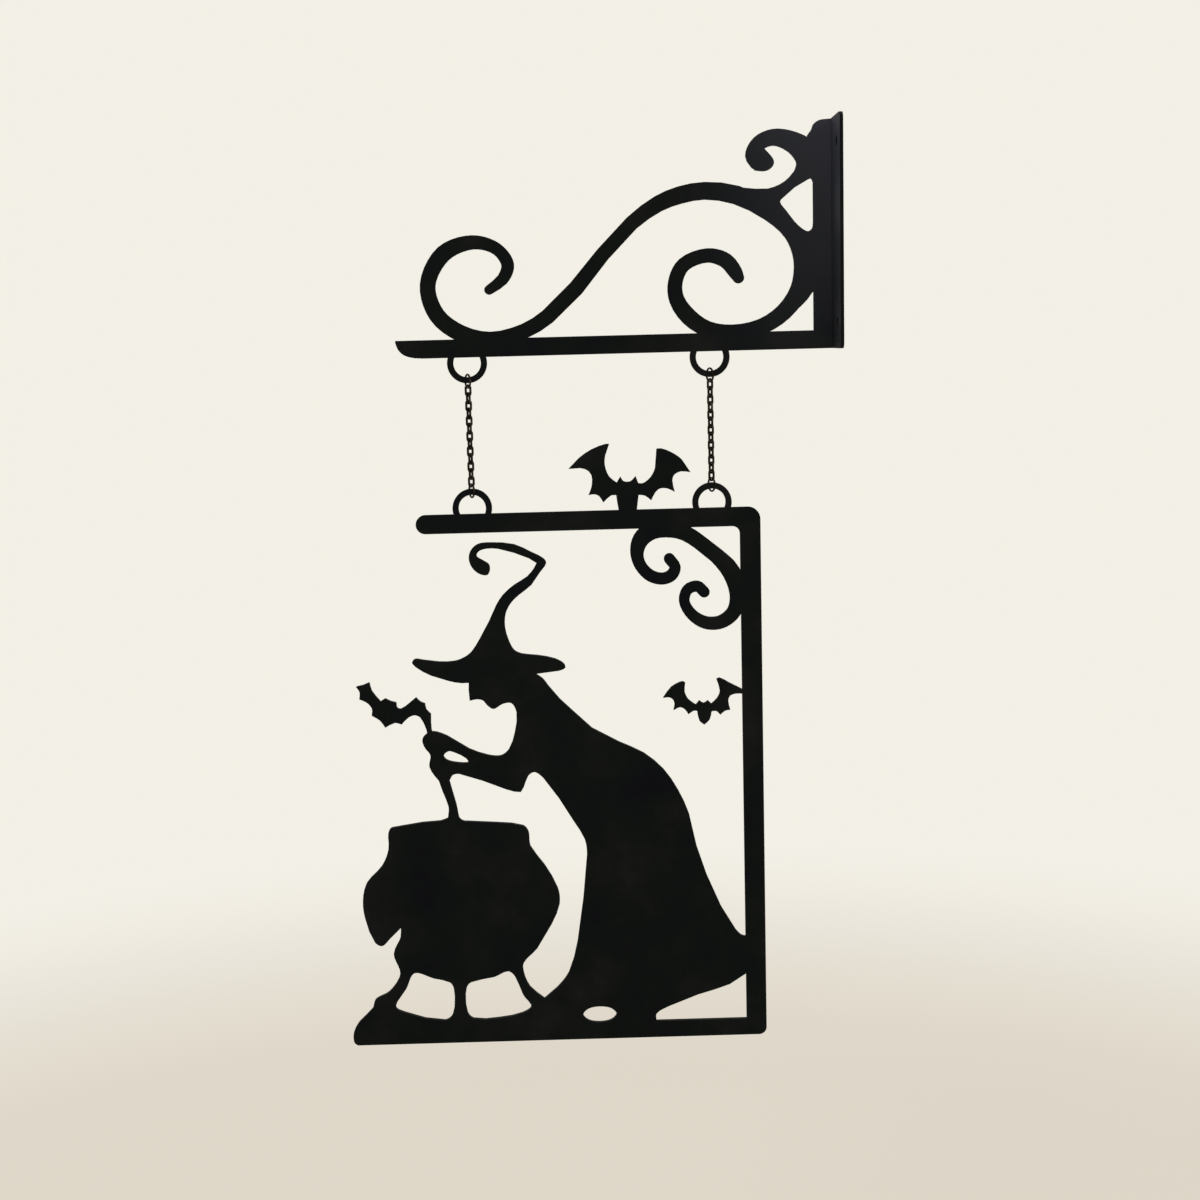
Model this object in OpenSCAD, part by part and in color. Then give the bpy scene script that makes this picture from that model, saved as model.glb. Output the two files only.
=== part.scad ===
// A hanging trade sign: a scrolled wall bracket, two fine chains and a cut sheet sign.
// The origin is the middle of the wall plate's back, +X points into the wall and +Z up.
// Both sheets stand in the XZ plane, with half their thickness on each side of it.

/* [Wall plate] */
// Height of the plate on the wall
plate_h = 98.4; // [90:0.1:110]
// Width of the plate along the wall
plate_w = 56; // [40:1:80]
// Thickness of the plate
plate_t = 1.5; // [1.2:0.1:3]
// Radius of the plate's corners
plate_corner = 3; // [1:0.5:6]
// Diameter of the four screw holes
screw_d = 4.5; // [3.5:0.1:5.5]
// Distance of the screw holes across the plate
screw_across = 36; // [28:1:44]
// Distance of the screw holes up the plate
screw_up = 76; // [60:1:80]

/* [Bracket] */
// Thickness of both cut sheets
sheet_t = 2; // [1.5:0.1:3]
// Reach of the arm from the plate's face to its tip
arm_reach = 192.2; // [175:0.1:210]
// Depth of the arm
arm_h = 8; // [6:0.1:9]
// Width of the post beside the plate
post_w = 7.9; // [7:0.1:9]
// Widest stroke of the bracket's scrolls
scroll_w = 8; // [7:0.1:9]

/* [Ring eyes] */
// Bore of the ring eyes
eye_d = 12.2; // [11:0.1:13]
// Width of the band round each eye
eye_band = 2.7; // [2.2:0.1:3]
// Distance of each eye's centre from the edge of its bar
eye_stand = 2.5; // [2:0.1:4]
// Distance of the near eye from the plate's face
eye_near = 54; // [49:0.1:59]
// Distance between the two eyes
eye_span = 107; // [95:1:112]

/* [Chains] */
// Wire of the chain links
link_wire = 1.05; // [0.8:0.05:1.1]
// Width of a link over its wire
link_w = 3.4; // [3.3:0.1:3.8]
// Length of a link inside its wire
link_in = 3.45; // [3.2:0.01:4.2]
// Turn of the links out of the plane along the arm
link_turn = 33; // [0:1:45]
// Wire of the jump rings
ring_wire = 0.9; // [0.6:0.05:1]
// Bore of the jump rings
ring_d = 5; // [4.9:0.1:5.6]
// Turn of the jump rings out of the plane across the arm
ring_twist = 25; // [0:1:28]
// Running clearance between wires, and between wire and band
fit_gap = 0.1; // [0.06:0.01:0.12]
// Swing of the sign to the front and to the back
swing_limit = 40; // [10:1:40]

/* [Sign] */
// Height of the sign's frame
frame_h = 247; // [225:1:270]
// Length of the sign's foot
foot_l = 192.6; // [175:0.1:210]
// Length of the frame's top bar
top_bar_l = 154; // [145:1:170]
// Depth of the frame's top bar
top_bar_h = 8.5; // [6.5:0.1:9]
// Width of the frame's upright
upright_w = 9.2; // [7.5:0.1:10.5]
// Depth of the frame's foot
foot_h = 7.8; // [6.5:0.1:8.5]
// Distance from the near eye to the upright's outer edge
eye_inset = 21.5; // [18:0.1:25]
// Widest stroke of the corner scroll
corner_scroll_w = 7; // [6:0.1:8]

/* [Hidden] */
LINKS = 13;
$fn = 64;
black = "#15161a";
gunmetal = "#3a3735";
// Marks a point at which an outline keeps its corner
tip = true;
// Largest turn and least length of the straight steps along a drawn curve
step_turn = 9;
short_step = 1.2;
// Sides of the small rounds in the sheets' outlines
small_fn = 32;

// Sizes at which the two sheets were drawn: reach and height, then foot length and height
drawn_bracket = [192.2, 97.4];
drawn_sign = [192.6, 247];
// Widest strokes at which their scrolls were drawn
drawn_scroll_w = 8;
drawn_corner_w = 7;
// How far a cutter runs past what it cuts
cut_over = 1;
// Steps in which the seat of the jump rings is sought, and the drop at which that ends
seat_step = 0.02;
least_drop = 0.2;

// Places on the bracket
arm_z = -plate_h / 2;
near_eye_x = -plate_t - eye_near;
far_eye_x = near_eye_x - eye_span;
eye_r = eye_d / 2;
upper_eye_z = arm_z - eye_stand;

// Jump ring: its wire's centre line, and how far its centre hangs under the band it rides on
ring_r = (ring_d + ring_wire) / 2;
ring_drop = ring_seat(ring_d / 2);
upper_ring_z = upper_eye_z - eye_r - ring_drop;

// Links: centre of the first end's wire, step from link to link, and length between wire centres
link_r = (link_w - link_wire) / 2;
link_l = link_in + link_wire;
first_wire_z = upper_ring_z - ring_d / 2 + fit_gap + link_wire / 2;
link_step = link_in - fit_gap;
last_wire_z = first_wire_z - (LINKS - 1) * link_step - link_l;

// Places on the sign, which hangs at the length of the chains
lower_ring_z = last_wire_z + link_wire / 2 + fit_gap - ring_d / 2;
lower_eye_z = lower_ring_z - ring_drop - eye_r;
sign_top = lower_eye_z - eye_stand;
sign_foot = sign_top - frame_h;
sign_side = near_eye_x + eye_inset;

// The name of one link of one chain
function link_name(side, i) = str(side, "_link_", i < 10 ? "0" : "", i);

// A point of the ring's centre line, from the ring's centre, with the sign swung out by an angle
function ring_point(turn, swing) =
    let (
        x = -ring_r * sin(turn) * sin(ring_twist),
        y = ring_r * sin(turn) * cos(ring_twist),
        z = ring_r * cos(turn)
    )
    [x, y * cos(swing) - z * sin(swing), y * sin(swing) + z * cos(swing)];

// Distance of a point from the eye's band, whose inner edge lies `drop` over the ring's centre
function band_room(p, drop) =
    let (
        out = norm([p.x, p.z - drop - eye_r]),
        beside = max(eye_r - out, out - eye_r - eye_band, 0),
        before = max(abs(p.y) - sheet_t / 2, 0)
    )
    norm([beside, before]);

// True if the wire clears the band at rest and at both ends of the swing
function ring_clears(drop) =
    min([
        for (swing = [-swing_limit, 0, swing_limit], turn = [0:6:354])
            band_room(ring_point(turn, swing), drop)
    ]) >= ring_wire / 2 + fit_gap;

// The largest drop at which the ring still turns freely on the band
function ring_seat(drop) =
    drop < least_drop || ring_clears(drop) ? drop : ring_seat(drop - seat_step);

// Straight blend of two points between two marks
function blend(a, b, from, to, at) = (a * (to - at) + b * (at - from)) / (to - from);

// A point on the curve from p1 to p2, where p0 and p3 are the neighbours on each side
function curve_point(p0, p1, p2, p3, part) =
    let (
        t1 = sqrt(norm(p1 - p0)),
        t2 = t1 + sqrt(norm(p2 - p1)),
        t3 = t2 + sqrt(norm(p3 - p2)),
        at = t1 + (t2 - t1) * part,
        a = blend(p0, p1, 0, t1, at),
        b = blend(p1, p2, t1, t2, at),
        c = blend(p2, p3, t2, t3, at),
        d = blend(a, b, 0, t2, at),
        e = blend(b, c, t1, t3, at)
    )
    blend(d, e, t1, t2, at);

// The angle between two directions
function bend(a, b) = acos(min(a * b / norm(a) / norm(b), 1));

// The points from p1 up to p2, without p2
function curve_span(p0, p1, p2, p3) =
    let (
        turned = bend(p2 - p0, p2 - p1) + bend(p2 - p1, p3 - p1),
        steps = max(1, ceil(min(norm(p2 - p1) / short_step, turned / step_turn)))
    )
    [for (i = [0:steps - 1]) curve_point(p0, p1, p2, p3, i / steps)];

// A closed outline through its points: smooth, but with a corner at each point marked as a tip
function outline(points) =
    let (n = len(points), flat = [for (p = points) [p[0], p[1]]])
    [
        for (i = [0:n - 1])
            let (
                j = (i + 1) % n,
                before = points[i][2] == tip ? 2 * flat[i] - flat[j] : flat[(i + n - 1) % n],
                after = points[j][2] == tip ? 2 * flat[j] - flat[i] : flat[(i + 2) % n]
            )
            each curve_span(before, flat[i], flat[j], after)
    ];

// The centre line of a stroke through points that each hold a place and a width
function stroke_line(points) =
    let (n = len(points))
    concat(
        [
            for (i = [0:n - 2])
                let (
                    before = i == 0 ? 2 * points[0] - points[1] : points[i - 1],
                    after = i == n - 2 ? 2 * points[n - 1] - points[n - 2] : points[i + 2]
                )
                each curve_span(before, points[i], points[i + 1], after)
        ],
        [points[n - 1]]
    );

// One edge of a stroke, on the side that `side` gives as 1 or -1
function stroke_edge(line, side) =
    [
        for (i = [0:len(line) - 1])
            let (
                ahead = line[min(i + 1, len(line) - 1)] - line[max(i - 1, 0)],
                along = [ahead.x, ahead.y] / norm([ahead.x, ahead.y])
            )
            [line[i].x, line[i].y] + side * line[i][2] / 2 * [-along.y, along.x]
    ];

// The round end of a stroke, without the two points at which its edges run into it
function stroke_end(end, inner) =
    let (away = atan2(end.y - inner.y, end.x - inner.x), step = 360 / small_fn)
    [
        for (i = [1:small_fn / 2 - 1])
            let (turn = away + 90 - i * step)
            [end.x, end.y] + end[2] / 2 * [cos(turn), sin(turn)]
    ];

// A stroke of changing width with round ends
module stroke(points) {
    line = stroke_line(points);
    last = len(line) - 1;
    right = stroke_edge(line, -1);
    polygon(concat(
        stroke_edge(line, 1),
        stroke_end(line[last], line[last - 1]),
        [for (i = [last:-1:0]) right[i]],
        stroke_end(line[0], line[1])
    ));
}

// Bracket points are given from the plate's face out along the arm and up from its underside,
// and sign points from the upright's outer edge and up from the foot
function on_bracket(p) =
    [
        -plate_t - p[0] * arm_reach / drawn_bracket[0],
        arm_z + p[1] * plate_h / drawn_bracket[1],
        p[2]
    ];
function on_sign(p) =
    [
        sign_side - p[0] * foot_l / drawn_sign[0],
        sign_foot + p[1] * frame_h / drawn_sign[1],
        p[2]
    ];

// Strokes: the third number is the width, as drawn at the widest stroke's size
function bracket_stroke(points) =
    [for (p = points) let (q = on_bracket(p)) [q.x, q.y, p[2] * scroll_w / drawn_scroll_w]];
function sign_stroke(points) =
    [for (p = points) let (q = on_sign(p)) [q.x, q.y, p[2] * corner_scroll_w / drawn_corner_w]];
function bracket_outline(points) = outline([for (p = points) on_bracket(p)]);
function sign_outline(points) = outline([for (p = points) on_sign(p)]);

// From the tip of the left scroll through the long S and the round loop to the inner spiral
long_scroll = [
    [150.2, 28.8, 4.2], [144.1, 33.2, 5.2], [141.7, 39.4, 5.6], [146.4, 46.2, 5.4],
    [156.7, 49.2, 6.1], [169.6, 44.7, 7.2], [177, 31.6, 6.8], [173.5, 18.6, 7.2],
    [163.2, 10.4, 7.4], [150.2, 7.4, 7], [135.2, 10.8, 6.6], [124.9, 16.7, 6.8], [112, 28.6, 6.9],
    [100, 42.7, 6.4], [87, 55.7, 6.4], [75.4, 63.5, 7], [65.7, 67, 7.5], [55, 68.5, 7.5],
    [41.2, 66.4, 8], [26.7, 59, 8], [16.8, 49.9, 7.8], [12.5, 38.5, 8], [14, 25.8, 8],
    [20.9, 16.2, 7.4], [30.8, 10.1, 7], [43.7, 7.8, 7], [54.7, 9.6, 7], [62.7, 14.9, 7.4],
    [68, 22.6, 6.8], [68.5, 30, 6.4], [64.7, 37.4, 6.3], [54.2, 41.1, 6.2], [46.2, 38.7, 6.6],
    [42, 33.5, 6.1], [40.8, 31.3, 5]
];

// The small scroll at the head of the post
head_scroll = [
    [6.2, 82, 10], [14.1, 86.7, 9.6], [19.2, 89.2, 8.2], [25.2, 90.2, 7], [31.2, 87.8, 6.6],
    [33.7, 82.9, 6.8], [32.2, 80, 6.4]
];

// The lobe it ends in, with a straight side towards the notch
head_lobe = [
    [29, 85.8, tip], [26.2, 82.8], [24.7, 80.3], [25, 78.4], [26.6, 76.8], [29.4, 76.1],
    [33.2, 76.6, tip], [34.2, 84, tip]
];

// The rounded corner between the small scroll and the fork
head_web = [
    [21.7, 87, tip], [17.3, 83], [15.2, 80.1], [14.9, 78.6], [15.8, 76.1], [17.7, 72, tip],
    [9.2, 76, tip], [9.2, 86, tip]
];

// The fork that carries the long scroll up into the post
fork = [[39.2, 65.7, 7.6], [27.2, 65.2, 7.2], [18, 68.8, 7.2], [11, 76.3, 7.6], [6.2, 86, 8]];

// The web that joins fork, long scroll and post, down to the gap over the arm
fork_web = [
    [27.7, 62.5, tip], [15.2, 48, tip], [13.2, 38, tip], [14.2, 24, tip], [14.6, 17.4, tip],
    [12.4, 19.4], [10.6, 21.2], [8.3, 24.3, tip], [4.2, 24.3, tip], [4.2, 80, tip], [11.2, 78, tip]
];

// The rounded hole in it
fork_hole = [
    [7.8, 54.5, tip], [7.8, 71, tip], [8.6, 72.6], [10.6, 71.8], [15.8, 68.9], [20.6, 64.9],
    [22.2, 63.1], [19.6, 59.3], [16, 54.6], [12.8, 51.6], [10.1, 50.3], [8.2, 51.6]
];

// The head of the post, swept up to the plate's edge
post_head = [
    [0, 85, tip], [10.2, 85, tip], [10.1, 90.7, tip], [8.3, 93.1], [7.5, 95.2], [5.7, 96.6],
    [3.6, 97.2], [0, 97.4, tip]
];

// The arm's tip, cut back underneath, and where the plain bar starts behind it
arm_tip = [
    [179.2, 0, tip], [179.2, 9, tip], [192.2, 9, tip], [192.2, 7, tip], [191.2, 4.2], [188.6, 1.6],
    [183.7, 0.2]
];
bar_start = 181.2;

// From the corner scroll's left curl along under the top bar to its right curl
corner_scroll = [
    [41, 224.5, 5], [38.5, 220.7, 5], [40.2, 217.1, 5.3], [44.2, 215.6, 5.3],
    [49.5, 217, 5.4], [53.9, 221.6, 5.4], [55.5, 227.4, 6], [53.6, 233.6, 7.4],
    [48, 237.6, 8], [39.5, 237.5, 7], [33.6, 235.8, 7], [27.7, 231.9, 6.8], [20.1, 225.6, 7],
    [13.3, 217.7, 8.3], [10.9, 207.6, 6.6], [12.4, 199.8, 6.4], [18.3, 195.2, 6],
    [25.3, 195.1, 5.7], [31.4, 199, 5.1], [34.7, 205.2, 4.8], [33, 210.4, 4.8],
    [28.6, 211.7, 5], [25.7, 209.1, 5]
];

// The bat on the top bar, from its left wing tip
bar_bat = [
    [85.1, 266, tip], [80.5, 270.6], [74.9, 274.3], [68.5, 276.6], [66.8, 276.6, tip],
    [68.6, 271.6], [68.9, 267.3], [67.1, 262.1], [63.8, 259.3, tip], [62.1, 262, tip],
    [60.8, 259.9], [57.8, 259.7], [55.3, 262, tip], [54.2, 258.8, tip], [52.2, 258.7],
    [48.8, 261.2], [46.6, 265.4], [45.8, 273.9, tip], [43.6, 274], [38.8, 272], [34.6, 268.9],
    [30.8, 263.1, tip], [35.1, 263.6], [38.1, 262.2], [39, 259.7], [38, 254.5, tip],
    [41.2, 256.1], [44.6, 256.2], [46.8, 254.4], [48.6, 251, tip], [51.4, 253.2],
    [54.2, 253.6, tip], [55.5, 244, tip], [62.8, 244, tip], [63.8, 250.5], [64.2, 253.8, tip],
    [66.6, 253.6], [70, 250.6, tip], [72, 253.7], [74.2, 254.4], [76.5, 254.1, tip],
    [75.1, 257.7], [75, 262.8], [76.9, 265.2], [80, 266.2]
];

// The bat that flies at the upright, from its left wing tip
upright_bat = [
    [45.1, 161.1, tip], [41.4, 165.9], [36, 168.4], [35, 167.8, tip], [35.3, 163.8],
    [33.6, 160], [30.3, 157.5, tip], [28.7, 159.4, tip], [26.8, 158.1], [24.8, 159.3, tip],
    [23.3, 157.7, tip], [20.8, 160], [19.3, 163.4], [20.8, 169, tip], [19.4, 169.6],
    [15.1, 167.3], [8, 163.5, tip], [8, 162, tip], [12.2, 162.2], [14.8, 161.2], [15.6, 159],
    [14.7, 154.8, tip], [17.1, 154.4], [19.3, 152.6, tip], [21.2, 154.4], [23.2, 154.3, tip],
    [24.2, 150.5], [26.7, 148.2, tip], [28.9, 150.2], [29.8, 154.7, tip], [31.4, 154.8],
    [33.8, 153.2, tip], [35.4, 155.6], [37.5, 156.6], [40.5, 155.3, tip], [40, 157.8],
    [40.6, 160.1], [42.4, 161.3]
];

// The bat that rises from the stick, from its left wing tip
stick_bat = [
    [183.9, 170, tip], [181, 170.6], [177.9, 171.8, tip], [176.9, 167.8], [173.2, 162.9, tip],
    [171.1, 164.2, tip], [168.6, 162.9], [166.1, 162.2, tip], [165.8, 159.8], [164.2, 159.2],
    [160.2, 161.8], [157.1, 164.3, tip], [155.2, 162.3], [153.1, 161.4, tip], [152.6, 158.6],
    [150.6, 156.5, tip], [151, 150, tip], [153, 150, tip], [155.5, 155.1], [157.9, 156.2],
    [160.9, 155.1], [164, 152.1, tip], [167, 152.9], [171.5, 150.8, tip], [173.8, 154.2],
    [177.4, 156.5, tip], [177.2, 159.8], [179.4, 162.6], [182.7, 164.2, tip], [182.4, 167.4]
];

// The stick, from the bat through the hand down into the cauldron
stick = [
    [152.8, 155.5, 4.4], [151.7, 149, 2.2], [150, 140, 4], [147, 130, 5], [144.6, 121, 4.3],
    [142.4, 113.4, 3.7], [142.2, 108.2, 5], [142, 102, 8]
];

// The hat, from the brim's left underside over the curled point to the right of the brim
hat = [
    [136, 170.4], [142, 171.6], [149.7, 174.2], [156.3, 178.1], [158.2, 180.6], [156.8, 182],
    [153.2, 181.5], [146.3, 180.5], [139, 180.6], [134.3, 182.3], [131.1, 184.8],
    [127.3, 190.5], [122.9, 198.3], [119.5, 205.4], [116.3, 210.1], [111, 214.6],
    [105.2, 218.1], [102, 221.7], [100.6, 224.2, tip], [103.9, 226.4], [110.5, 229.1],
    [117.6, 231.1], [122.8, 231.3], [126.4, 230.1], [127.4, 228.1], [124.2, 225.8],
    [122, 224.2], [121.6, 221.7], [122.7, 219.5], [125.4, 219.6], [128.8, 221.9],
    [130.8, 226.1], [130.2, 230.2], [126.8, 233.4], [120.6, 234], [110.4, 232.9],
    [102.8, 229.2], [97.7, 226.4], [96.3, 224.1], [99.2, 220], [103.2, 214.4], [109, 210],
    [112.8, 206.3], [115.2, 201.6], [115.7, 195.4], [114.3, 189.6], [111.9, 184.9],
    [108.2, 183.1], [101.6, 182.3], [93.9, 180.6], [89.8, 178.2], [89, 176.3], [92, 174.9],
    [102.9, 173.7, tip], [112, 171, tip]
];

// Head, arms, gown and the ground at its hem, from the face under the brim
figure = [
    [132.9, 172, tip], [133.1, 167.4], [132.8, 162.2, tip], [129.6, 162.8], [126.8, 162.2],
    [125, 160], [122.2, 158.1], [117.8, 160.4], [114, 160.6], [111.8, 156.3], [112.9, 147],
    [115.8, 139.2], [119.3, 136.4], [125.1, 136.7], [133.8, 139.9], [138.3, 142.8],
    [143.6, 146.2], [149.9, 148.4], [152.8, 147.4], [154.8, 145.4], [154.8, 143],
    [153.6, 140.4], [151.6, 137.6], [152.2, 131.9], [148.4, 125.7], [144.8, 122, tip],
    [143, 126], [141.6, 128], [138.8, 128.4], [128.2, 124.9], [118, 120.7], [114, 119.4],
    [111, 119.1, tip], [109.6, 121.3], [107.4, 126.6], [104.6, 128.3], [100.6, 125.5],
    [93.6, 115.6], [87.2, 104.7], [82.4, 96.1], [81.6, 88.6], [83.8, 68.1], [87, 47.6],
    [91.4, 32.6], [97, 25.4], [103.1, 20.2, tip], [112, 4, tip], [51.3, 4, tip], [51.3, 8, tip],
    [51.2, 11.4], [45.1, 15], [31.6, 20.2], [16.8, 24.8], [5, 32.5, tip], [5, 47.6, tip],
    [10.5, 47.8], [13.8, 51], [20.3, 62.2], [26.7, 77.5], [31.1, 91.3], [34.3, 106.6],
    [39.1, 117.9], [45.5, 127.8], [54.5, 135.8], [65.5, 141.2], [77.7, 148], [85.4, 155.4],
    [91.9, 161.8], [96.9, 168], [99.4, 171.5], [102.9, 173.9, tip], [110, 180, tip]
];

// The gap between the arms
arm_gap = [
    [145.6, 137], [143.3, 139.1], [140.4, 138.4], [135.4, 135.6], [134.4, 133.7],
    [140.1, 133.8], [144.5, 135.2]
];

// The cauldron with its feet and the ground under it, from the left of the rim
cauldron = [
    [170.6, 103.9], [156.5, 106, tip], [148.2, 106.5], [144, 108, tip], [140, 108, tip],
    [137.6, 106.1], [122.3, 105], [110.4, 103.2], [108.1, 100.3], [107.4, 93.4],
    [101.2, 84.4], [95.4, 73], [94.8, 65.7], [98.7, 56.2], [105.7, 44.7], [112.2, 37.9],
    [112.4, 33.1], [109.6, 26], [103.1, 20.2, tip], [96, 4, tip], [96, 0, tip],
    [190.6, 0, tip], [192.2, 1.2], [192.6, 3.4], [192.2, 6.8], [189.6, 11.3], [183.2, 17.6],
    [181.6, 21.9], [175, 25.6], [169.6, 34.2], [172.2, 43.9], [168.8, 51.6], [168.4, 56.2, tip],
    [173.2, 51.6], [177.4, 47.8], [180.6, 49.6], [184.7, 61.5], [185.3, 69.7], [183.3, 77.9],
    [175.9, 85.9], [172.5, 94], [172.2, 101.8]
];

// The gaps between the cauldron's feet
left_foot_gap = [
    [163, 34.3], [154.1, 31.5], [146.8, 29.4], [145.1, 26.6], [146.1, 13.6], [149.6, 10.9],
    [168.1, 15.2], [172.4, 18], [167, 27]
];
right_foot_gap = [
    [139.1, 26.6], [136.9, 29.2], [126.1, 31.4], [119.6, 34], [116.6, 31.6], [113.1, 22.6],
    [109.4, 16.5], [113.4, 13.5], [124.2, 11.4], [136.4, 11.4], [139.1, 14.4]
];

// The oval gap under the gown
hem_gap = [
    [85.4, 11.8], [83.1, 14.6], [77.6, 15.7], [72.1, 14.6], [69.8, 11.8], [72.1, 9],
    [77.6, 7.9], [83.1, 9]
];

// An eye: a band round a bore, which its bar closes on the far side
module eye(x, z) {
    translate([x, z])
        difference() {
            circle(r = eye_r + eye_band);
            circle(r = eye_r);
        }
}

// Shapes that overlap, joined into one cut outline, with slits too fine to cut closed up
module one_outline() {
    slit = 0.1;
    offset(delta = -slit / 2) offset(delta = slit / 2) children();
}

// A sheet's flat shape stood up in the XZ plane
module upright_sheet() {
    rotate([90, 0, 0])
        linear_extrude(height = sheet_t, center = true)
            children();
}

// Half of a link's round end, opening downwards
module link_end() {
    rotate([90, 0, 0])
        rotate_extrude(angle = 180)
            translate([link_r, 0]) circle(d = link_wire);
}

// One link, from the centre of its upper end's wire down
module link() {
    side_l = link_l - 2 * link_r;
    translate([0, 0, -link_r]) link_end();
    translate([0, 0, -link_r - side_l]) mirror([0, 0, 1]) link_end();
    for (side = [-1, 1])
        translate([side * link_r, 0, -link_r - side_l])
            cylinder(d = link_wire, h = side_l);
}

// A link in its place: each one stands square to its neighbours, with the chain turned as a whole
module chain_link(x, i) {
    color(gunmetal)
        translate([x, 0, first_wire_z - (i - 1) * link_step])
            rotate([0, 0, i % 2 == 1 ? link_turn : link_turn + 90]) link();
}

// A jump ring with the fine cut where it was closed, low on its front side
module jump_ring(x, z) {
    cut = 3;
    color(gunmetal)
        translate([x, 0, z])
            rotate([0, 0, ring_twist]) rotate([0, 90, 0]) rotate([0, 0, -60])
                rotate_extrude(angle = 360 - cut)
                    translate([ring_r, 0]) circle(d = ring_wire);
}

module wall_plate() {
    color(black)
        difference() {
            translate([-plate_t, 0, 0]) rotate([90, 0, 90])
                linear_extrude(height = plate_t) plate_face();
            for (y = [-0.5, 0.5], z = [-0.5, 0.5])
                translate([-plate_t - cut_over, y * screw_across, z * screw_up])
                    rotate([0, 90, 0])
                        cylinder(d = screw_d, h = plate_t + 2 * cut_over);
        }
}

// The wall plate's outline: two crossed bars and four round corners
module plate_face() {
    square([plate_w, plate_h - 2 * plate_corner], center = true);
    square([plate_w - 2 * plate_corner, plate_h], center = true);
    for (y = [-1, 1], z = [-1, 1])
        translate([y * (plate_w / 2 - plate_corner), z * (plate_h / 2 - plate_corner)])
            circle(r = plate_corner);
}

module bracket_plate() {
    color(black) {
        upright_sheet() one_outline() {
            scrolls();
            arm();
        }
        for (x = [near_eye_x, far_eye_x])
            upright_sheet() eye(x, upper_eye_z);
    }
}

// The scrolls and the post, with the rounded hole between them
module scrolls() {
    difference() {
        union() {
            stroke(bracket_stroke(long_scroll));
            stroke(bracket_stroke(head_scroll));
            polygon(bracket_outline(head_lobe));
            polygon(bracket_outline(head_web));
            stroke(bracket_stroke(fork));
            polygon(bracket_outline(fork_web));
            polygon(bracket_outline(post_head));
            post();
        }
        polygon(bracket_outline(fork_hole));
        // Nothing of the scrolls reaches past the plate's face
        translate([-plate_t, arm_z]) square([scroll_w, plate_h]);
    }
}

// The post along the wall plate, up into its swept head
module post() {
    plain_share = 0.9;
    translate([-plate_t - post_w, arm_z]) square([post_w, plate_h * plain_share]);
}

// The arm: a plain bar that ends in the cut tip
module arm() {
    bar_l = bar_start * arm_reach / drawn_bracket[0];
    translate([-plate_t - bar_l, arm_z]) square([bar_l, arm_h]);
    intersection() {
        polygon(bracket_outline(arm_tip));
        translate([-plate_t - arm_reach, arm_z]) square([arm_reach, arm_h]);
    }
}

module sign_plate() {
    color(black) {
        upright_sheet() one_outline() {
            frame();
            stroke(sign_stroke(corner_scroll));
            polygon(sign_outline(bar_bat));
            polygon(sign_outline(upright_bat));
            scene();
        }
        for (x = [near_eye_x, far_eye_x])
            upright_sheet() eye(x, lower_eye_z);
    }
}

// The sign's frame: top bar with a round end, upright and foot, with rounded outer corners
module frame() {
    outer_r = 5.5;
    inner_r = 3.5;
    foot_r = 3.5;
    end_r = top_bar_h / 2;
    // The plain foot ends inside the cauldron's ground
    plain_l = foot_l * 0.9;
    $fn = small_fn;
    translate([sign_side - top_bar_l + end_r, sign_top - end_r]) circle(r = end_r);
    translate([sign_side - top_bar_l + end_r, sign_top - top_bar_h])
        square([top_bar_l - end_r - outer_r, top_bar_h]);
    translate([sign_side - outer_r, sign_top - outer_r]) circle(r = outer_r);
    translate([sign_side - upright_w, sign_foot + foot_r])
        square([upright_w, frame_h - outer_r - foot_r]);
    translate([sign_side - foot_r, sign_foot + foot_r]) circle(r = foot_r);
    translate([sign_side - plain_l, sign_foot]) square([plain_l - foot_r, foot_h]);
    translate([sign_side - upright_w - inner_r, sign_top - top_bar_h - inner_r])
        difference() {
            square(2 * inner_r);
            circle(r = inner_r);
        }
}

// The figure at the cauldron
module scene() {
    difference() {
        union() {
            polygon(sign_outline(hat));
            polygon(sign_outline(figure));
            stroke(sign_stroke(stick));
            polygon(sign_outline(stick_bat));
            polygon(sign_outline(cauldron));
        }
        polygon(sign_outline(arm_gap));
        polygon(sign_outline(left_foot_gap));
        polygon(sign_outline(right_foot_gap));
        polygon(sign_outline(hem_gap));
    }
}

wall_plate();
bracket_plate();
sign_plate();
jump_ring(far_eye_x, upper_ring_z);  // left_top_ring
jump_ring(far_eye_x, lower_ring_z);  // left_bottom_ring
jump_ring(near_eye_x, upper_ring_z);  // right_top_ring
jump_ring(near_eye_x, lower_ring_z);  // right_bottom_ring
for (i = [1:LINKS]) {
    chain_link(far_eye_x, i);
    chain_link(near_eye_x, i);
}
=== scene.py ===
"""A hanging sheet-metal sign on its scroll bracket: materials, studio and camera.

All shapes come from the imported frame. Nothing on the object is added, moved or hidden.
Lengths are in metres, and colours are linear.
"""

import bpy
from mathutils import Matrix, Vector

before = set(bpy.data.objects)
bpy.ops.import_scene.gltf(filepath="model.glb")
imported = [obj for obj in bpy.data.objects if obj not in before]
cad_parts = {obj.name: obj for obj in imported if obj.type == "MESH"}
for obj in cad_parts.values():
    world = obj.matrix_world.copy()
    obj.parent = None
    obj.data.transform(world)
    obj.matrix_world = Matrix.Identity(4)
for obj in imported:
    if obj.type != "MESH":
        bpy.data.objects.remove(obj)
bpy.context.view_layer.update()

# Camera, fitted to the photograph's straight bars: its place, and its right and down axes
EYE = Vector((-0.1121, -0.7875, -0.0425))
RIGHT = Vector((0.9996157, -0.0107519, -0.0255509))
DOWN = Vector((-0.0268469, -0.1458504, -0.9889423))
LENS_MM = 53.07
SENSOR_MM = 36.0
CLIP_NEAR = 0.01
CLIP_FAR = 50.0

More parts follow.
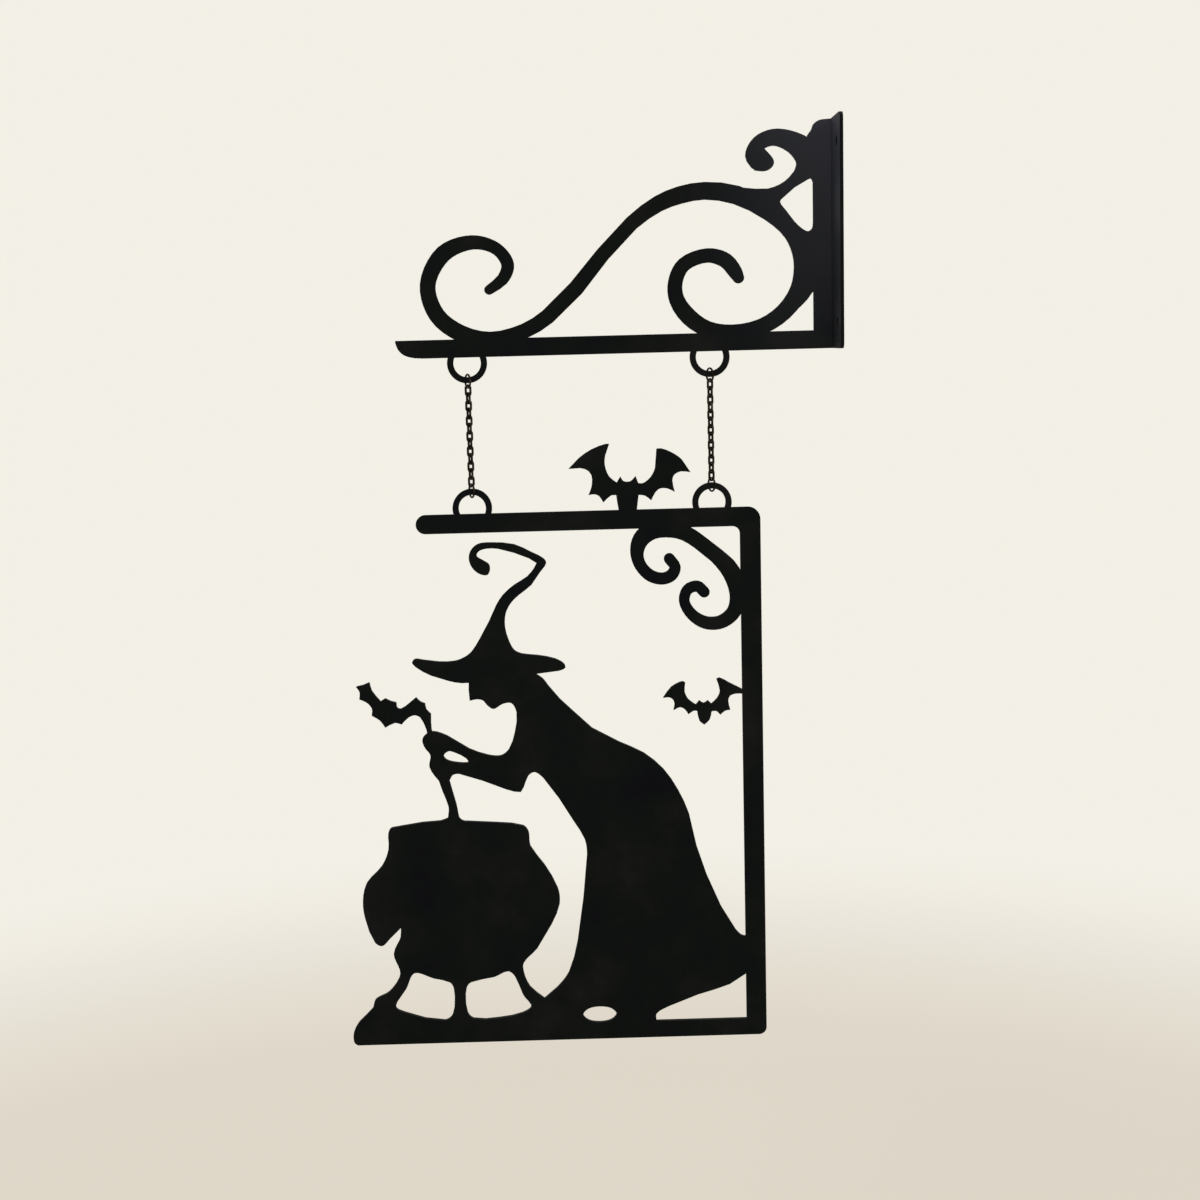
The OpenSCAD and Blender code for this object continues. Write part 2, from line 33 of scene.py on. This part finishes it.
# Powder coat: its black, which varies in soft clouds. Each stop is a noise value and a colour
BLACK_BY_CLOUD = [
    (0.32, (0.0012, 0.0014, 0.0028, 1.0)),
    (0.48, (0.0018, 0.0030, 0.0024, 1.0)),
    (0.68, (0.0060, 0.0066, 0.0060, 1.0)),
]
CLOUD_SCALE = 30.0

# Powder coat: its matt shine, least and most roughness, fine grain, and the peel of its surface
COAT_REFRACTION = 1.5
COAT_SPECULAR_LEVEL = 0.065
COAT_ROUGHNESS = (0.56, 0.72)
GRAIN_SCALE = 950.0
PEEL_SCALE = 1500.0
PEEL_STRENGTH = 0.35
PEEL_DEPTH = 0.00006

# Painted sheen: its colour on the sheets and on the wall plate, and where it starts and is full,
# along the arm, up the wall, and by how squarely a surface looks along its sheet's thickness
SHEET_PAINTED_SHEEN = (0.0425, 0.0442, 0.0560, 1.0)
PLATE_PAINTED_SHEEN = (0.0250, 0.0268, 0.0370, 1.0)
SHEEN_ALONG_ARM = (-0.080, 0.0)
SHEEN_UP_WALL = (-0.070, 0.050)
SHEEN_BY_FACING = (0.75, 0.98)

# Chain steel: colour and roughness in patches, each stop by a noise value, and its fine bumps
STEEL_BY_PATCH = [
    (0.35, (0.009, 0.006, 0.0035, 1.0)),
    (0.55, (0.018, 0.013, 0.008, 1.0)),
    (0.72, (0.060, 0.050, 0.036, 1.0)),
]
STEEL_ROUGHNESS_BY_PATCH = [(0.35, 0.48), (0.72, 0.30)]
PATCH_SCALE = 420.0
STEEL_BUMP_SCALE = 2600.0
STEEL_BUMP_STRENGTH = 0.25
STEEL_BUMP_DEPTH = 0.00002

# Studio: backdrop and floor colours, and the ring in which the floor runs out into the backdrop
BACKDROP = (0.896, 0.868, 0.795, 1.0)
FLOOR = (0.766, 0.709, 0.612, 1.0)
FLOOR_MIDDLE = Vector((-0.11, 0.0, -0.67))
FLOOR_HALF_SIDE = 4.0
FLOOR_FADE_START = 0.65
FLOOR_FADE_END = 1.38
FLOOR_OWN_COLOUR_SHARE = 0.6
PAPER_ROUGHNESS = 0.5

# Studio light: the world's, and each lamp's name, place, size, power in watts and colour
WORLD_LIGHT = (1.0, 0.99, 0.97, 1.0)
WORLD_STRENGTH = 0.55
LAMP_AIM = Vector((-0.11, 0.0, -0.16))
LAMPS = [
    ("key", Vector((-1.1, -1.3, 1.1)), (1.0, 1.0), 14.0, (1.0, 0.985, 0.96)),
    ("fill", Vector((1.2, -1.2, 0.3)), (1.2, 1.2), 6.0, (0.97, 0.985, 1.0)),
    ("top", Vector((-0.1, 0.5, 1.3)), (1.4, 0.8), 8.0, (1.0, 1.0, 1.0)),
]


def new_material(name):
    """A material with an empty node tree, and that tree."""
    material = bpy.data.materials.new(name)
    material.use_nodes = True
    material.node_tree.nodes.clear()
    return material, material.node_tree


def add(tree, kind, **values):
    """A node with its settings, and with its inputs set by name or number."""
    node = tree.nodes.new(kind)
    for key, value in values.items():
        if key == "inputs":
            for name, given in value.items():
                node.inputs[name].default_value = given
        else:
            setattr(node, key, value)
    return node


def show_surface(tree, shader):
    """The material's output, which shows the given shader."""
    out = add(tree, "ShaderNodeOutputMaterial")
    tree.links.new(shader, out.inputs["Surface"])


def ramp(tree, source, stops):
    """A colour ramp on a factor. Each stop is a place and a grey or a colour."""
    node = tree.nodes.new("ShaderNodeValToRGB")
    elements = node.color_ramp.elements
    while len(elements) < len(stops):
        elements.new(1.0)
    for element, (place, colour) in zip(elements, stops):
        element.position = place
        if isinstance(colour, float):
            colour = (colour, colour, colour, 1.0)
        element.color = colour
    tree.links.new(source, node.inputs["Fac"])
    return node.outputs["Color"]


def noise(tree, place, scale, detail, roughness):
    """A noise factor on the object's own coordinates."""
    node = add(tree, "ShaderNodeTexNoise",
               inputs={"Scale": scale, "Detail": detail, "Roughness": roughness})
    tree.links.new(place, node.inputs["Vector"])
    return node.outputs["Fac"]


def bump(tree, height, strength, depth):
    """A surface normal that follows a height of the given depth."""
    node = add(tree, "ShaderNodeBump", inputs={"Strength": strength, "Distance": depth})
    tree.links.new(height, node.inputs["Height"])
    return node.outputs["Normal"]


def part_way(tree, source, limits):
    """A factor that runs from 0 at the first limit of the source to 1 at the second."""
    low, high = limits
    node = add(tree, "ShaderNodeMapRange", inputs={"From Min": low, "From Max": high})
    tree.links.new(source, node.inputs["Value"])
    return node.outputs["Result"]


def times(tree, a, b):
    """The product of two factors."""
    node = add(tree, "ShaderNodeMath", operation="MULTIPLY")
    tree.links.new(a, node.inputs[0])
    tree.links.new(b, node.inputs[1])
    return node.outputs["Value"]


def mix_shaders(tree, factor, first, second):
    """The first shader where the factor is 0, and the second where it is 1."""
    node = add(tree, "ShaderNodeMixShader")
    tree.links.new(factor, node.inputs["Fac"])
    tree.links.new(first, node.inputs[1])
    tree.links.new(second, node.inputs[2])
    return node.outputs["Shader"]


def painted_sheen(tree, coordinates, face):
    """How much painted sheen lies on the coat: most at the wall and at the bracket's top, none on
    cut edges.
    """
    place = add(tree, "ShaderNodeSeparateXYZ")
    tree.links.new(coordinates.outputs["Object"], place.inputs["Vector"])
    to_wall = part_way(tree, place.outputs["X"], SHEEN_ALONG_ARM)
    to_top = part_way(tree, place.outputs["Z"], SHEEN_UP_WALL)
    normal = add(tree, "ShaderNodeSeparateXYZ")
    tree.links.new(coordinates.outputs["Normal"], normal.inputs["Vector"])
    facing = add(tree, "ShaderNodeMath", operation="ABSOLUTE")
    tree.links.new(normal.outputs[face], facing.inputs[0])
    on_face = part_way(tree, facing.outputs["Value"], SHEEN_BY_FACING)
    return times(tree, times(tree, times(tree, to_wall, to_wall), to_top), on_face)


def powder_coat(name, face, sheen_colour):
    """Matt black powder coat with a painted sheen, on a sheet whose broad faces look along the given
    axis.
    """
    material, tree = new_material(name)
    link = tree.links.new
    coordinates = add(tree, "ShaderNodeTexCoord")
    place = coordinates.outputs["Object"]
    clouds = noise(tree, place, CLOUD_SCALE, detail=4.0, roughness=0.6)
    grain = noise(tree, place, GRAIN_SCALE, detail=2.0, roughness=0.5)
    peel = noise(tree, place, PEEL_SCALE, detail=2.0, roughness=0.45)

    # The coat's black, mixed towards the painted sheen colour where the sheen's mask is high
    colour = add(tree, "ShaderNodeMix", data_type="RGBA")
    link(painted_sheen(tree, coordinates, face), colour.inputs["Factor"])
    link(ramp(tree, clouds, BLACK_BY_CLOUD), colour.inputs["A"])
    colour.inputs["B"].default_value = sheen_colour

    rough = add(tree, "ShaderNodeMix", data_type="FLOAT")
    link(grain, rough.inputs["Factor"])
    rough.inputs["A"].default_value, rough.inputs["B"].default_value = COAT_ROUGHNESS

    shader = add(tree, "ShaderNodeBsdfPrincipled",
                 inputs={"IOR": COAT_REFRACTION, "Specular IOR Level": COAT_SPECULAR_LEVEL})
    link(colour.outputs["Result"], shader.inputs["Base Color"])
    link(rough.outputs["Result"], shader.inputs["Roughness"])
    link(bump(tree, peel, PEEL_STRENGTH, PEEL_DEPTH), shader.inputs["Normal"])
    show_surface(tree, shader.outputs["BSDF"])
    return material


def chain_steel():
    """Blackened wire: dark metal, rubbed a little brighter in patches."""
    material, tree = new_material("chain_steel")
    link = tree.links.new
    place = add(tree, "ShaderNodeTexCoord").outputs["Object"]
    patches = noise(tree, place, PATCH_SCALE, detail=3.0, roughness=0.6)
    fine = noise(tree, place, STEEL_BUMP_SCALE, detail=2.0, roughness=0.5)

    shader = add(tree, "ShaderNodeBsdfPrincipled", inputs={"Metallic": 1.0})
    link(ramp(tree, patches, STEEL_BY_PATCH), shader.inputs["Base Color"])
    link(ramp(tree, patches, STEEL_ROUGHNESS_BY_PATCH), shader.inputs["Roughness"])
    link(bump(tree, fine, STEEL_BUMP_STRENGTH, STEEL_BUMP_DEPTH), shader.inputs["Normal"])
    show_surface(tree, shader.outputs["BSDF"])
    return material


def dress():
    """The coat on the two sheets and the wall plate, blackened steel on chains and rings."""
    # Each coat is given its own painted sheen colour
    sheet_coat = powder_coat("sheet_coat", "Y", SHEET_PAINTED_SHEEN)
    plate_coat = powder_coat("plate_coat", "X", PLATE_PAINTED_SHEEN)
    steel = chain_steel()
    coats = {"wall_plate": plate_coat, "bracket_plate": sheet_coat, "sign_plate": sheet_coat}
    for name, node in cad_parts.items():
        for slot in node.material_slots:
            slot.material = coats.get(name, steel)


def sees_backdrop(tree):
    """1 on camera, glossy and transmission rays, which all see the pale backdrop."""
    path = add(tree, "ShaderNodeLightPath")
    total = path.outputs["Is Camera Ray"]
    for name in ("Is Glossy Ray", "Is Transmission Ray"):
        either = add(tree, "ShaderNodeMath", operation="MAXIMUM")
        tree.links.new(total, either.inputs[0])
        tree.links.new(path.outputs[name], either.inputs[1])
        total = either.outputs["Value"]
    return total


def studio_world():
    """Soft light from all round, behind a pale backdrop that takes no part in the lighting."""
    world = bpy.data.worlds.new("studio")
    bpy.context.scene.world = world
    world.use_nodes = True
    tree = world.node_tree
    tree.nodes.clear()
    light = add(tree, "ShaderNodeBackground",
                inputs={"Color": WORLD_LIGHT, "Strength": WORLD_STRENGTH})
    pale = add(tree, "ShaderNodeBackground", inputs={"Color": BACKDROP, "Strength": 1.0})
    seen = mix_shaders(tree, sees_backdrop(tree), light.outputs["Background"],
                       pale.outputs["Background"])
    out = add(tree, "ShaderNodeOutputWorld")
    tree.links.new(seen, out.inputs["Surface"])


def floor_paper():
    """Pale paper that is lit as paper, and that is seen running out into the backdrop."""
    material, tree = new_material("floor_paper")
    link = tree.links.new
    from_middle = add(tree, "ShaderNodeVectorMath", operation="LENGTH")
    link(add(tree, "ShaderNodeTexCoord").outputs["Object"], from_middle.inputs[0])
    away = add(tree, "ShaderNodeMapRange", interpolation_type="SMOOTHSTEP",
               inputs={"From Min": FLOOR_FADE_START, "From Max": FLOOR_FADE_END})
    link(from_middle.outputs["Value"], away.inputs["Value"])

    paper = add(tree, "ShaderNodeBsdfDiffuse", inputs={"Color": FLOOR, "Roughness": PAPER_ROUGHNESS})
    own = add(tree, "ShaderNodeEmission", inputs={"Color": FLOOR, "Strength": 1.0})
    far = add(tree, "ShaderNodeEmission", inputs={"Color": BACKDROP, "Strength": 1.0})
    # Seen directly, the floor is mostly its own colour, with some of the lit paper and its shadows
    near = add(tree, "ShaderNodeMixShader", inputs={"Fac": FLOOR_OWN_COLOUR_SHARE})
    link(paper.outputs["BSDF"], near.inputs[1])
    link(own.outputs["Emission"], near.inputs[2])
    fade = mix_shaders(tree, away.outputs["Result"], near.outputs["Shader"], far.outputs["Emission"])
    show_surface(tree, mix_shaders(tree, sees_backdrop(tree), paper.outputs["BSDF"], fade))
    return material


def studio_floor():
    """A square of paper under the object."""
    corners = [(-1, -1), (1, -1), (1, 1), (-1, 1)]
    mesh = bpy.data.meshes.new("floor")
    mesh.from_pydata([(x * FLOOR_HALF_SIDE, y * FLOOR_HALF_SIDE, 0.0) for x, y in corners],
                     [], [(0, 1, 2, 3)])
    mesh.materials.append(floor_paper())
    floor = bpy.data.objects.new("floor", mesh)
    floor.location = FLOOR_MIDDLE
    bpy.context.collection.objects.link(floor)


def studio_lamps():
    """Soft rectangular lamps, all aimed at the object's middle."""
    for name, place, size, power, colour in LAMPS:
        data = bpy.data.lights.new(name, "AREA")
        data.shape = "RECTANGLE"
        data.size, data.size_y = size
        data.energy = power
        data.color = colour
        lamp = bpy.data.objects.new(name, data)
        lamp.location = place
        lamp.rotation_euler = (LAMP_AIM - place).to_track_quat("-Z", "Y").to_euler()
        bpy.context.collection.objects.link(lamp)


def camera():
    """The photograph's view."""
    data = bpy.data.cameras.new("camera")
    data.sensor_fit = "HORIZONTAL"
    data.sensor_width = SENSOR_MM
    data.lens = LENS_MM
    data.clip_start = CLIP_NEAR
    data.clip_end = CLIP_FAR
    right = RIGHT.normalized()
    down = (DOWN - right * DOWN.dot(right)).normalized()
    back = right.cross(-down)
    turn = Matrix((right, -down, back)).transposed().to_4x4()
    eye = bpy.data.objects.new("camera", data)
    eye.matrix_world = Matrix.Translation(EYE) @ turn
    bpy.context.collection.objects.link(eye)
    bpy.context.scene.camera = eye


dress()
studio_world()
studio_floor()
studio_lamps()
camera()
bpy.context.scene.view_settings.view_transform = "Standard"
